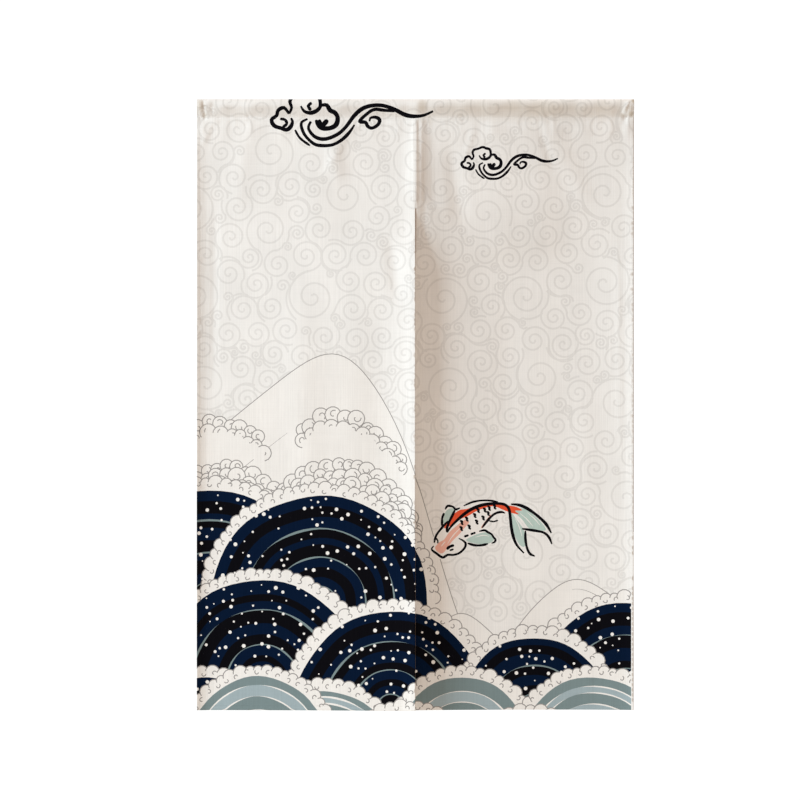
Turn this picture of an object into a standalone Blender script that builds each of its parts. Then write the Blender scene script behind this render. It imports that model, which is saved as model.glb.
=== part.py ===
"""Two-panel door curtain of slubbed cloth, hanging from the rod pocket along its top.

Metres, +Z up. +X is to the right seen from the front and +Y is to the back. The origin is the
middle of the top edge. Each panel is one length of cloth with its top turned over into the
pocket, and the pocket's strip is an object of its own, just above the panel that it is sewn from.
"""

from collections import namedtuple
from math import acos, cos, exp, hypot, pi, sin

import bmesh
import bpy

MM = 0.001

# Size of the whole curtain
WIDTH = 858 * MM
DROP = 1200 * MM

# Cloth and its turned edges
CLOTH = 1.2 * MM            # thickness of the cloth
HEM_THICKNESS = 2.4 * MM    # a side or foot hem, with its turned-in layers on the back
SIDE_HEM = 8 * MM           # width of the hem down each side of a panel
FOOT_HEM = 10 * MM          # height of the hem along the foot
REST_GAP = 0.3 * MM         # between pieces that touch

# Rod pocket
POCKET = 39 * MM            # from the top edge to the foot of the stitched fin
FIN = 4 * MM                # stitched fin below the pocket
BULGE = 11.5 * MM           # outside radius of the pocket's rounded top
INNER_NECK = 0.3 * MM       # half width of the hollow where front and back meet
POCKET_SLACK = 1.6 * MM     # how far the pocket's front bellies out between its tucks

# The panels are sewn together down to here, and below it one edge stands before the other
SEWN = 206 * MM

# Divisions of the meshes
COLUMNS = 32                # between a panel's side hems
ROWS_SEWN = 8               # from the pocket down to the end of the join
ROWS_OPENING = 7            # where the panels part
ROWS_HANGING = 10           # from there down to the foot hem
POCKET_STEPS = 30
ARC_STEPS = 10

# How far each panel stands forward of the plane of the rod, in millimetres, from side to side
Station = namedtuple("Station", "across sewn middle foot")
LEFT_FOLD = (
    Station(across=-429, sewn=0.0, middle=1.0, foot=0.0),
    Station(across=-409, sewn=-3.0, middle=-2.5, foot=-4.0),
    Station(across=-372, sewn=-3.0, middle=-2.5, foot=-4.5),
    Station(across=-290, sewn=-1.0, middle=0.0, foot=-1.5),
    Station(across=-190, sewn=1.5, middle=4.5, foot=3.5),
    Station(across=-105, sewn=4.5, middle=10.0, foot=10.0),
    Station(across=-45, sewn=8.0, middle=15.0, foot=16.0),
    Station(across=0, sewn=12.5, middle=22.0, foot=24.0),
)
RIGHT_FOLD = (
    Station(across=0, sewn=12.5, middle=4.0, foot=4.0),
    Station(across=28, sewn=7.0, middle=-1.0, foot=-1.0),
    Station(across=75, sewn=0.5, middle=-8.0, foot=-8.5),
    Station(across=150, sewn=-5.0, middle=-14.5, foot=-15.5),
    Station(across=250, sewn=-8.0, middle=-18.0, foot=-19.5),
    Station(across=345, sewn=-7.0, middle=-16.5, foot=-18.0),
    Station(across=400, sewn=-4.5, middle=-12.0, foot=-13.0),
    Station(across=429, sewn=-2.0, middle=-8.5, foot=-9.0),
)

# Drops in millimetres between which each column of the fold tables comes in
SEWN_FOLD_GROWS = (39, 243)
MIDDLE_FOLD_GROWS = (206, 350)
FOOT_FOLD_GROWS = (300, 1200)

# Soft creases in millimetres: a straight line from head to foot, its half width, and its height
Crease = namedtuple("Crease", "head_across head_drop foot_across foot_drop width forward")
CREASES = (
    Crease(head_across=-168, head_drop=42, foot_across=-150, foot_drop=180, width=17, forward=2.6),
    Crease(head_across=-330, head_drop=42, foot_across=-352, foot_drop=240, width=20, forward=1.8),
    Crease(head_across=-52, head_drop=250, foot_across=-30, foot_drop=420, width=15, forward=-2.2),
    Crease(head_across=-235, head_drop=300, foot_across=-205, foot_drop=900, width=34, forward=1.8),
    Crease(head_across=62, head_drop=60, foot_across=95, foot_drop=270, width=18, forward=-2.4),
    Crease(head_across=262, head_drop=50, foot_across=348, foot_drop=230, width=20, forward=2.8),
    Crease(head_across=185, head_drop=320, foot_across=170, foot_drop=980, width=36, forward=-1.8),
    Crease(head_across=330, head_drop=420, foot_across=352, foot_drop=1150, width=30, forward=1.6),
)

# Tucks along the pocket's stitching in millimetres: fullness between them stands forward
Tuck = namedtuple("Tuck", "across width forward")
TUCKS = (
    Tuck(across=-418, width=9, forward=2.2),
    Tuck(across=-379, width=14, forward=1.1),
    Tuck(across=-322, width=16, forward=1.6),
    Tuck(across=-262, width=14, forward=0.9),
    Tuck(across=-207, width=15, forward=1.4),
    Tuck(across=-148, width=17, forward=1.8),
    Tuck(across=-86, width=14, forward=1.0),
    Tuck(across=-31, width=13, forward=1.3),
    Tuck(across=38, width=14, forward=1.5),
    Tuck(across=97, width=15, forward=0.9),
    Tuck(across=151, width=16, forward=1.7),
    Tuck(across=214, width=15, forward=1.0),
    Tuck(across=272, width=17, forward=1.9),
    Tuck(across=330, width=14, forward=1.1),
    Tuck(across=381, width=13, forward=1.5),
    Tuck(across=417, width=9, forward=2.4),
)
TUCK_DROP = 58              # drop in millimetres over which a tuck fades below the stitching


def smooth(t):
    """Ease from 0 to 1 with level ends."""
    t = min(max(t, 0.0), 1.0)
    return t * t * (3 - 2 * t)


def share_of(place, ends):
    """How much of the way a place lies from one end to the other."""
    return (place - ends[0]) / (ends[1] - ends[0])


def along_table(table, column, across):
    """Smooth curve through one column of a fold table, at a distance across in millimetres."""
    last = len(table) - 1
    index = 0
    while index < last - 1 and across > table[index + 1].across:
        index += 1
    near = [table[min(max(index + step, 0), last)] for step in (-1, 0, 1, 2)]
    values = [getattr(row, column) for row in near]
    span = near[2].across - near[1].across
    rise_in = (values[2] - values[0]) / max(near[2].across - near[0].across, 1) * span
    rise_out = (values[3] - values[1]) / max(near[3].across - near[1].across, 1) * span
    t = min(max((across - near[1].across) / span, 0.0), 1.0)
    return ((2 * t**3 - 3 * t**2 + 1) * values[1] + (t**3 - 2 * t**2 + t) * rise_in
            + (3 * t**2 - 2 * t**3) * values[2] + (t**3 - t**2) * rise_out)


def crease_height(across, drop):
    """Sum of the soft creases at a place on the cloth, in millimetres."""
    total = 0.0
    for crease in CREASES:
        run_x = crease.foot_across - crease.head_across
        run_z = crease.foot_drop - crease.head_drop
        run = hypot(run_x, run_z)
        off_x, off_z = across - crease.head_across, drop - crease.head_drop
        along = (off_x * run_x + off_z * run_z) / run**2
        aside = (off_x * run_z - off_z * run_x) / run
        fade = smooth(along / 0.35) * smooth((1 - along) / 0.35)
        total += crease.forward * fade * exp(-(aside / crease.width)**2)
    return total


def tuck_height(across, drop):
    """Fullness between the tucks, strongest just below the stitching, in millimetres."""
    fade = 1 - smooth((drop - POCKET / MM) / TUCK_DROP)
    return fade * sum(t.forward * exp(-((across - t.across) / t.width)**2) for t in TUCKS)


def fold_height(table, across, drop):
    """How far the hanging cloth stands forward, in millimetres: flat at the pocket's stitching."""
    sewn, middle, foot = (along_table(table, column, across) for column in Station._fields[1:])
    leaving = min(share_of(drop, SEWN_FOLD_GROWS), 1.0)
    total = sewn * leaving * (2 - leaving)
    total += (middle - sewn) * smooth(share_of(drop, MIDDLE_FOLD_GROWS))
    total += (foot - middle) * smooth(share_of(drop, FOOT_FOLD_GROWS))
    return total + crease_height(across, drop)


def panel_front(table, x, z):
    """Y of a panel's front face at a place across and down."""
    across, drop = x / MM, -z / MM
    rise = smooth((drop - POCKET / MM) / 25)
    return -CLOTH - MM * (fold_height(table, across, drop) + rise * tuck_height(across, drop))


def new_object(name, bm, parts, material):
    """Put a finished mesh in the scene as one named piece."""
    mesh = bpy.data.meshes.new(name)
    bm.to_mesh(mesh)
    bm.free()
    mesh.materials.append(material)
    mesh.shade_smooth()
    mesh.set_sharp_from_angle(angle=pi / 4)
    piece = bpy.data.objects.new(name, mesh)
    parts.objects.link(piece)
    return piece


def cloth_material(name, colour):
    """Undyed, matt linen and cotton cloth."""
    material = bpy.data.materials.new(name)
    material.use_nodes = True
    shader = material.node_tree.nodes["Principled BSDF"]
    shader.inputs["Base Color"].default_value = (*colour, 1)
    shader.inputs["Roughness"].default_value = 0.92
    shader.inputs["Metallic"].default_value = 0.0
    return material


def grid_lines(start, bands):
    """Places of a grid's lines: from the start, through bands that each end at a place."""
    lines = [start]
    for end, count in bands:
        step = (end - lines[-1]) / count
        lines += [lines[-1] + step * i for i in range(1, count)] + [end]
    return lines


def panel(name, side, table, parts, material):
    """One hanging panel: a gridded sheet, folded, then thickened straight to the back."""
    width = WIDTH / 2
    across_lines = grid_lines(0.0, ((SIDE_HEM, 1), (SIDE_HEM + CLOTH, 1),
                                    (width - SIDE_HEM - CLOTH, COLUMNS),
                                    (width - SIDE_HEM, 1), (width, 1)))
    parted = MIDDLE_FOLD_GROWS[1] * MM
    drop_lines = grid_lines(POCKET + REST_GAP, ((SEWN, ROWS_SEWN), (parted, ROWS_OPENING),
                                                (DROP - FOOT_HEM - CLOTH, ROWS_HANGING),
                                                (DROP - FOOT_HEM, 1), (DROP, 1)))
    columns, rows = len(across_lines) - 1, len(drop_lines) - 1
    bm = bmesh.new()
    bmesh.ops.create_grid(bm, x_segments=columns, y_segments=rows, size=0.5)
    thickness = bm.verts.layers.float.new("thickness")
    for vert in bm.verts:
        column = round((0.5 + side * vert.co.x) * columns)
        row = round((0.5 - vert.co.y) * rows)
        drop = drop_lines[row]
        x = side * max(across_lines[column], REST_GAP / 2)
        in_hem = column <= 1 or column >= columns - 1 or row >= rows - 1
        vert[thickness] = HEM_THICKNESS if in_hem else CLOTH
        vert.co = (x, panel_front(table, x, -drop), -drop)
    grown = bmesh.ops.extrude_face_region(bm, geom=bm.faces[:])["geom"]
    for item in grown:
        if isinstance(item, bmesh.types.BMVert):
            item.co.y += item[thickness]
    bmesh.ops.recalc_face_normals(bm, faces=bm.faces)
    return new_object(name, bm, parts, material)


def pocket_section(radius, foot, foot_half, neck):
    """Drop-shaped section of the pocket as (y, z), from the fin round the top and back."""
    centre = -BULGE
    reach = centre - neck
    tangent = acos(radius / reach)
    start = -pi / 2 - tangent
    sweep = 2 * (pi - tangent)
    arc = [(radius * cos(start - sweep * i / ARC_STEPS),
            centre + radius * sin(start - sweep * i / ARC_STEPS)) for i in range(ARC_STEPS + 1)]
    half_way = ((arc[0][0] - foot_half) / 2, (arc[0][1] + neck) / 2)
    front = [(-foot_half, foot), (-foot_half, neck), half_way]
    back = [(-y, z) for y, z in reversed(front)]
    return front + arc + back


def heading(name, side, parts, material):
    """One panel's half of the rod pocket: an open drop-shaped sleeve with its stitched fin."""
    inner_x, outer_x = REST_GAP / 2, WIDTH / 2
    start = inner_x if side > 0 else -outer_x
    step = (outer_x - inner_x) / POCKET_STEPS
    outside = pocket_section(BULGE, -POCKET, CLOTH, -POCKET + FIN)
    inside = pocket_section(BULGE - CLOTH, -POCKET + FIN + CLOTH, INNER_NECK, -POCKET + FIN + 3 * CLOTH)
    bm = bmesh.new()
    outer, inner = ([bm.verts.new((start, y, z)) for y, z in ring] for ring in (outside, inside))
    faces = [bm.faces.new((outer[i - 1], outer[i], inner[i], inner[i - 1]))
             for i in range(len(outer))]
    for index in range(POCKET_STEPS):
        grown = bmesh.ops.extrude_face_region(bm, geom=faces)["geom"]
        verts = [item for item in grown if isinstance(item, bmesh.types.BMVert)]
        bmesh.ops.translate(bm, verts=verts, vec=(step, 0, 0))
        if index:
            bmesh.ops.delete(bm, geom=faces, context='FACES')
        faces = [item for item in grown if isinstance(item, bmesh.types.BMFace)]
    for vert in bm.verts:
        if vert.co.y < 0:
            across, drop = vert.co.x / MM, -vert.co.z
            belly = sin(pi * min(drop / (POCKET - FIN), 1.0))**2
            fullness = min(tuck_height(across, POCKET / MM), POCKET_SLACK / MM)
            vert.co.y -= MM * belly * fullness
    bmesh.ops.recalc_face_normals(bm, faces=bm.faces)
    return new_object(name, bm, parts, material)


def main():
    """Build the curtain in an empty scene."""
    for old in list(bpy.data.objects):
        bpy.data.objects.remove(old)
    parts = bpy.data.collections.new("partition_curtain")
    bpy.context.scene.collection.children.link(parts)
    panel_cloth = cloth_material("panel_cloth", (0.80, 0.76, 0.69))
    pocket_cloth = cloth_material("pocket_cloth", (0.78, 0.74, 0.67))
    panel("panel_left", -1, LEFT_FOLD, parts, panel_cloth)
    panel("panel_right", 1, RIGHT_FOLD, parts, panel_cloth)
    heading("heading_left", -1, parts, pocket_cloth)
    heading("heading_right", 1, parts, pocket_cloth)


main()
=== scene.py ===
"""Looks of a two-panel door curtain: printed slub cloth hung by a rod pocket.

The print is drawn in millimetres on the flat cloth and then bent onto the folds in which the
cloth hangs. Across is measured to the right from the join of the panels. Drop is the height
below the top edge, and fall is the length of cloth down the face from the crown of the pocket.
"""

from collections import namedtuple
from math import acos, ceil, cos, hypot, pi, radians, sin

import bmesh
import bpy
import numpy as np
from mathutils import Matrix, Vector
from mathutils.geometry import delaunay_2d_cdt
from mathutils.kdtree import KDTree


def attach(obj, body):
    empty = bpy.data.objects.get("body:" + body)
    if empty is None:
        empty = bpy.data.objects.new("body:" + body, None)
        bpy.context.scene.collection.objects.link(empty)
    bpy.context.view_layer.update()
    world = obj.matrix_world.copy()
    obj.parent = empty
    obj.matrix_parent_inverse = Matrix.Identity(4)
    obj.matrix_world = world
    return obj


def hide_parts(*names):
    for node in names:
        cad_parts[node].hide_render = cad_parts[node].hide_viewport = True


bl_info = {
    "name": "Printed door curtain",
    "version": (1, 0, 0),
    "blender": (4, 5, 0),
    "location": "3D View > Sidebar > Curtain",
    "description": "Makes the printed cloth, the sewing and the studio of a two-panel door curtain",
    "category": "Object",
}

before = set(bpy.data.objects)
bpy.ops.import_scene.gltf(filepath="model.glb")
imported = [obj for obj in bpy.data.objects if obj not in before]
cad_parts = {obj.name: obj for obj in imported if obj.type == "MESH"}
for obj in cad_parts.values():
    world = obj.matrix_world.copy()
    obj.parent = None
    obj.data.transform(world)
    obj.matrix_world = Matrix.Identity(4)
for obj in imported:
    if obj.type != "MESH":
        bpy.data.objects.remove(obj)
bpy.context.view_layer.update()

MM = 0.001


def rows_of(kind, *rows):
    """A table whose rows hold their kind's values, in the order in which it names them."""
    return tuple(kind(*row) for row in rows)


# Sizes of the hung cloth in millimetres, as its solids have them
HALF_WIDTH = 429.0
DROP = 1200.0
CLOTH = 1.2
SIDE_HEM = 8.0
FOOT_HEM = 10.0
POCKET = 39.0
FIN = 4.0
BULGE = 11.5
POCKET_SLACK = 1.6
SEWN = 206.0
JOIN_GAP = 0.3
# Sizes that only the finished cloth has: how near the sewn edges come to meeting, where a hem is
# sewn, and how far the thickness of a hem runs on past it
TOUCH = 0.01
HEM_SEAM = 7.0
PAST_HEM = 0.4
# A sewing thread across and in height, in metres
THREAD_WIDTH = 0.55 * MM
THREAD_HEIGHT = 0.24 * MM
# Border round each half of the map for baked pictures, as a share of it
BAKE_MARGIN = 0.012
# How strongly painted warm shade takes away red, green and blue
PAINTED_SHADE_TINT = (1.0, 1.25, 1.55, 0.0)

# How far the hanging cloth stands forward at places across a panel, in three heights: where the
# panels are sewn together, in the middle, and at the foot
Station = namedtuple("Station", "across sewn middle foot")
LEFT_FOLD = rows_of(
    Station,
    (-429, 0.0, 1.0, 0.0),
    (-409, -3.0, -2.5, -4.0),
    (-372, -3.0, -2.5, -4.5),
    (-290, -1.0, 0.0, -1.5),
    (-190, 1.5, 4.5, 3.5),
    (-105, 4.5, 10.0, 10.0),
    (-45, 8.0, 15.0, 16.0),
    (0, 12.5, 22.0, 24.0),
)
RIGHT_FOLD = rows_of(
    Station,
    (0, 12.5, 4.0, 4.0),
    (28, 7.0, -1.0, -1.0),
    (75, 0.5, -8.0, -8.5),
    (150, -5.0, -14.5, -15.5),
    (250, -8.0, -18.0, -19.5),
    (345, -7.0, -16.5, -18.0),
    (400, -4.5, -12.0, -13.0),
    (429, -2.0, -8.5, -9.0),
)
# Between which drops each column of the folds comes in
SEWN_FOLD_GROWS = (39, 243)
MIDDLE_FOLD_GROWS = (206, 350)
FOOT_FOLD_GROWS = (300, 1200)

# Soft creases: a straight line from head to foot, its half width, and how far it stands forward
Crease = namedtuple("Crease", "head_across head_drop foot_across foot_drop width forward")
CREASES = rows_of(
    Crease,
    (-168, 42, -150, 180, 17, 2.6),
    (-330, 42, -352, 240, 20, 1.8),
    (-52, 250, -30, 420, 15, -2.2),
    (-235, 300, -205, 900, 34, 1.8),
    (62, 60, 95, 270, 18, -2.4),
    (262, 50, 348, 230, 20, 2.8),
    (185, 320, 170, 980, 36, -1.8),
    (330, 420, 352, 1150, 30, 1.6),
)
# Creases that only the finished cloth has: small ones dragged from the ends of the pocket, and
# shallow ones that soften or sharpen the main folds
FINE_CREASES = rows_of(
    Crease,
    (-418, -16, -412, 50, 3.2, -1.7),
    (-400, -8, -398, 34, 2.4, -0.6),
    (-392, 30, -420, 96, 6.0, 0.9),
    (425, -12, 401, 48, 3.0, 1.5),
    (416, 14, 412, 54, 2.6, -1.2),
    (-120, 42, -190, 170, 8.0, 0.7),
    (20, 70, 14, 330, 7.0, -0.8),
    (238, 44, 276, 150, 8.0, -0.9),
    (120, 44, 92, 130, 7.0, 0.8),
    (-392, 160, -398, 620, 8.0, -0.8),
    (398, 210, 404, 760, 7.0, 0.7),
    (4, -30, 4, 250, 17.0, 4.0),
    (432, -250, 432, 1750, 15.0, 2.6),
    (262, 50, 348, 230, 20, -1.2),
    (-330, 42, -352, 240, 20, -0.8),
    (-72, 260, -66, 1000, 42, -2.4),
)
# Broad low swells of one panel: where each rises and falls across, and between which drops
Swell = namedtuple("Swell", "side rise_from rise_to fall_from fall_to head foot height")
SWELLS = rows_of(
    Swell,
    (1, 36, 66, 300, 429, 10, 260, 0.9),
    (1, 84, 180, 232, 312, 20, 330, 3.3),
    (1, -20, 45, 100, 330, 215, 1100, 1.5),
    (1, 325, 415, 500, 600, 60, 1150, 1.8),
    (-1, -250, -190, -188, -115, 20, 300, 1.3),
    (-1, -26, 2, 20, 30, 200, 1300, 1.6),
)
# Length over which a swell comes in at its head and goes at its foot
SWELL_FADE = 60.0
# Height of the join of the panels across it, over the drop that is sewn
JOIN_ACROSS = (-11.6, -9.6, -7.7, -5.7, -3.7, -1.7, 0.2, 2.2, 4.1, 6.1, 8.0, 10.0, 12.0, 14.0,
               26.0, 31.0, 90.0)
JOIN_HEIGHT = (0.0, -0.1, -0.16, 0.09, 0.05, -0.24, -0.34, -0.36, -0.88, -1.46, -1.52, -1.33, -1.03,
               -1.08, -1.4, -1.65, 0.0)

# Fullness between the tucks at the pocket's stitching, down to a drop below it
Tuck = namedtuple("Tuck", "across width forward")
TUCKS = rows_of(
    Tuck,
    (-418, 9, 2.2),
    (-379, 14, 1.1),
    (-322, 16, 1.6),
    (-262, 14, 0.9),
    (-207, 15, 1.4),
    (-148, 17, 1.8),
    (-86, 14, 1.0),
    (-31, 13, 1.3),
    (38, 14, 1.5),
    (97, 15, 0.9),
    (151, 16, 1.7),
    (214, 15, 1.0),
    (272, 17, 1.9),
    (330, 14, 1.1),
    (381, 13, 1.5),
    (417, 9, 2.4),
)
TUCK_DROP = 58.0

# The pocket's face: an arc round its crown, a straight run to its neck, and the stitched fin
NECK = POCKET - FIN
ARC_TURN = pi - acos(BULGE / (NECK - BULGE))
ARC_END = (BULGE * sin(ARC_TURN), BULGE * (1 - cos(ARC_TURN)))
ARC_FALL = BULGE * ARC_TURN
NECK_FALL = ARC_FALL + hypot(ARC_END[0] - CLOTH, NECK - ARC_END[1])
POCKET_FALL = NECK_FALL + FIN
FULL_FALL = POCKET_FALL + DROP - POCKET
SEAM_FALL = NECK_FALL + FIN / 2

# Patches of painted warm shade on the pocket and at its ends, where its folds and puckers would shade
# it: place, reach and how much darker
ShadePatch = namedtuple("ShadePatch", "across fall width height depth")
PAINTED_SHADE_PATCHES = rows_of(
    ShadePatch,
    (236, 31, 222, 20, 0.11),
    (128, 20, 46, 14, 0.04),
    (192, 20, 20, 13, 0.08),
    (252, 24, 34, 17, 0.07),
    (306, 20, 12, 13, 0.05),
    (366, 20, 18, 15, 0.07),
    (400, 14, 9, 10, 0.04),
    (424, 38, 6, 6, 0.20),
    (411, 41, 4, 5, 0.12),
    (428, 8, 4, 8, 0.33),
    (14, 20, 10, 15, 0.16),
    (70, 20, 12, 12, 0.04),
    (-420, 18, 6, 14, 0.15),
    (-413, 40, 5, 6, 0.14),
    (-290, 22, 14, 13, 0.02),
    (-428, 22, 8, 17, 0.09),
)

# The camera stands square to the cloth. One pixel of the 800 pixel frame is this wide on it, and
# the middle of the curtain lies on this one
FRAME_PIXELS = 800
PIXEL = 1.9638
CENTRE_PIXEL = (415.4, 404.75)


def linear(hex_colour):
    """Linear red, green and blue of an sRGB colour such as #F0ECE6."""
    parts = [int(hex_colour[i:i + 2], 16) / 255 for i in (1, 3, 5)]
    return tuple(p / 12.92 if p <= 0.04045 else ((p + 0.055) / 1.055)**2.4 for p in parts)


def colour_property(name, description, hex_colour):
    """A colour that a user may change."""
    return bpy.props.FloatVectorProperty(name=name, description=description, subtype='COLOR',
                                         size=3, min=0, max=1, default=linear(hex_colour))


def measure(name, description, default, unit='LENGTH'):
    """A measure that a user may change, in metres unless its unit is none."""
    return bpy.props.FloatProperty(name=name, description=description, default=default, unit=unit)


class CurtainDyes(bpy.types.PropertyGroup):
    """Dyes of the print, named for what they colour, and the painted shade of the right-hand edges."""
    ground: colour_property("Ground", "Undyed cloth", "#F1EDE7")
    scroll_grey: colour_property("Scroll grey", "Fine spirals all over the ground", "#E5E1DB")
    paper: colour_property("Paper white", "Plain white of the hills and the mist", "#F2EDE6")
    line_grey: colour_property("Line grey", "Thin lines on the far hills and the mist", "#98938F")
    ink: colour_property("Ink", "Brush strokes of the clouds and the fish", "#0A090E")
    night: colour_property("Night", "Darkest bands of the hills", "#08070C")
    navy: colour_property("Navy", "Blue bands of the hills", "#03152E")
    slate: colour_property("Slate", "Grey-green near hills", "#7D8D8D")
    haze: colour_property("Haze", "Pale blue-grey near hills", "#A3B2B5")
    vermilion: colour_property("Vermilion", "Back of the fish", "#E75837")
    salmon: colour_property("Salmon", "Head of the fish", "#EDB3A0")
    fin_green: colour_property("Fin green", "Fins and tail of the fish", "#BBCDC3")
    # Painted shade along the right-hand edges and the slit, where the edges turn from the lamp
    hem_edge: colour_property("Edge shade", "Painted shade along the right-hand edges and the slit", "#9C826D")
    thread: colour_property("Thread", "Sewing thread", "#DDD6CB")


class CurtainCloth(bpy.types.PropertyGroup):
    """Make of the cloth."""
    thickness: measure("Thickness", "One layer of the cloth", 1.0 * MM)
    hem_thickness: measure("Hem", "A hem with its turned layers", 2.2 * MM)
    thread_pitch: measure("Thread pitch", "Spacing of the threads as drawn", 1.7 * MM)
    stitch_pitch: measure("Stitch", "Length of one stitch", 3.2 * MM)


class CurtainStudio(bpy.types.PropertyGroup):
    """Lamps, floor and camera."""
    lens: measure("Lens", "Focal length in millimetres", 200.0, 'NONE')
    key_power: measure("Key", "Power of the lamp on the left", 438.0, 'NONE')
    fill: measure("Fill", "Strength of the light all round", 0.56, 'NONE')
    top_power: measure("Top", "Power of the lamp above the crown", 5.5, 'NONE')
    rod_height: measure("Rod height", "Top edge above the floor", 2.0)


def ease(t):
    """Ease from 0 to 1 with level ends."""
    t = np.clip(t, 0.0, 1.0)
    return t * t * (3 - 2 * t)


def round_about(across, drop, reach, turn):
    """Places at a reach and turn about a middle."""
    return np.stack((across + reach * np.cos(turn), drop + reach * np.sin(turn)), axis=1)


def from_side(across):
    """How far each place lies from the nearer side edge of its panel."""
    return np.minimum(np.abs(across), HALF_WIDTH - np.abs(across))


def panel_ends(side):
    """Across of a panel's left and right edge."""
    return (JOIN_GAP / 2, HALF_WIDTH) if side > 0 else (-HALF_WIDTH, -JOIN_GAP / 2)


def share_of(place, ends):
    """How much of the way a place lies from one end to the other."""
    return (place - ends[0]) / (ends[1] - ends[0])


def along_table(table, column, across):
    """Smooth curve through one column of a fold table."""
    places = np.array([row.across for row in table], float)
    values = np.array([getattr(row, column) for row in table], float)
    last = len(table) - 1
    index = np.clip(np.searchsorted(places, across, side="right") - 1, 0, last - 1)
    before, after = np.maximum(index - 1, 0), np.minimum(index + 2, last)
    span = places[index + 1] - places[index]
    rise_in = (values[index + 1] - values[before]) / (places[index + 1] - places[before]) * span
    rise_out = (values[after] - values[index]) / (places[after] - places[index]) * span
    t = np.clip((across - places[index]) / span, 0, 1)
    return ((2 * t**3 - 3 * t**2 + 1) * values[index] + (t**3 - 2 * t**2 + t) * rise_in
            + (3 * t**2 - 2 * t**3) * values[index + 1] + (t**3 - t**2) * rise_out)


def crease_height(creases, across, drop):
    """Sum of soft creases."""
    total = np.zeros_like(across)
    for crease in creases:
        run_x = crease.foot_across - crease.head_across
        run_z = crease.foot_drop - crease.head_drop
        run = hypot(run_x, run_z)
        off_x, off_z = across - crease.head_across, drop - crease.head_drop
        along = (off_x * run_x + off_z * run_z) / run**2
        aside = (off_x * run_z - off_z * run_x) / run
        fade = ease(along / 0.35) * ease((1 - along) / 0.35)
        total += crease.forward * fade * np.exp(-(aside / crease.width)**2)
    return total


def tuck_height(across, drop):
    """Fullness between the tucks, strongest just below the pocket's stitching."""
    fade = 1 - ease((drop - POCKET) / TUCK_DROP)
    return fade * sum(t.forward * np.exp(-((across - t.across) / t.width)**2) for t in TUCKS)


def fold_height(table, across, drop):
    """How far the hanging cloth stands forward: flat at the pocket's stitching."""
    sewn, middle, foot = (along_table(table, column, across) for column in Station._fields[1:])
    leaving = np.clip(share_of(drop, SEWN_FOLD_GROWS), 0, 1)
    total = sewn * leaving * (2 - leaving)
    total += (middle - sewn) * ease(share_of(drop, MIDDLE_FOLD_GROWS))
    total += (foot - middle) * ease(share_of(drop, FOOT_FOLD_GROWS))
    return total + crease_height(CREASES, across, drop)


def pucker_rows():
    """Seeded places, widths, reaches, leans and heights of the puckers at the stitching."""
    rng = np.random.default_rng(11)
    places = np.cumsum(rng.uniform(6, 19, 90)) - HALF_WIDTH
    places = places[places < HALF_WIDTH]
    count = len(places)
    return (places, rng.uniform(2.2, 5.5, count), rng.uniform(12, 46, count),
            rng.uniform(-0.22, 0.22, count), rng.uniform(-0.42, 0.5, count))


PUCKERS = pucker_rows()


def pucker_height(across, drop):
    """Short puckers that the stitching draws into the cloth above and below it."""
    total = np.zeros_like(across)
    below = drop - POCKET
    start = ease(np.abs(below) / 5)
    for place, width, reach, lean, height in zip(*PUCKERS):
        length = np.where(below > 0, reach, 0.4 * reach)
        aside = (across - place - lean * below) / width
        total += height * start * np.exp(-aside**2 - (below / length)**2)
    return total


def swell_height(side, across, drop):
    """Sum of one panel's broad swells."""
    total = np.zeros_like(across)
    for swell in SWELLS:
        if swell.side == side:
            shape = ease(share_of(across, (swell.rise_from, swell.rise_to)))
            shape = shape - ease(share_of(across, (swell.fall_from, swell.fall_to)))
            fade = ease((drop - swell.head) / SWELL_FADE) * ease((swell.foot - drop) / SWELL_FADE)
            total += swell.height * shape * fade
    return total


def apart_at(drop):
    """0 where the panels are sewn together, 1 where they hang apart."""
    return ease((drop - SEWN + 6) / 14)


# Hems: how far they puff, how deep their sewn line lies and its half width, and how wide a strip
# rolls back at the right-hand and lower edges
HEM_PUFF = 0.08
HEM_GROOVE = 0.10
GROOVE_WIDTH = 0.9
ROLLED_STRIP = 1.3


def hem_relief(side, across, drop):
    """Hems a little puffed, with a shallow sewn line, right edges that roll back, and the join."""
    apart = apart_at(drop)
    outer, inner = HALF_WIDTH - np.abs(across), np.abs(across)
    total = np.zeros_like(across)
    inner_weight = apart if side > 0 else 0.1 * apart
    for edge, weight in ((outer, 1.0), (inner, inner_weight), (DROP - drop, 1.0)):
        total += HEM_PUFF * weight * np.sin(pi * np.clip(edge / HEM_SEAM, 0, 1))
        total -= HEM_GROOVE * weight * np.exp(-((edge - HEM_SEAM) / GROOVE_WIDTH)**2)
    right_edge, weight = (outer, 1.0) if side > 0 else (inner, apart)
    total -= 0.9 * weight * np.clip(1 - right_edge / ROLLED_STRIP, 0, 1)**2
    total -= 0.5 * np.clip(1 - (DROP - drop) / ROLLED_STRIP, 0, 1)**2
    if side < 0:
        total += 0.5 * np.exp(-(outer / 4)**2)
    join = np.interp(across, JOIN_ACROSS, JOIN_HEIGHT)
    return total + (1 - apart) * ease((drop - NECK) / 16) * join


def seam_relief(fall):
    """The line that the pocket's stitching presses into both layers."""
    return -0.35 * np.exp(-((np.abs(fall) - SEAM_FALL) / 0.8)**2)


def painted_shade(across, fall):
    """How much painted warm shade darkens the cloth at each place."""
    total = np.zeros_like(across)
    for patch in PAINTED_SHADE_PATCHES:
        off = ((across - patch.across) / patch.width)**2 + ((fall - patch.fall) / patch.height)**2
        total += patch.depth * np.exp(-off**2)
    return total


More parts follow.
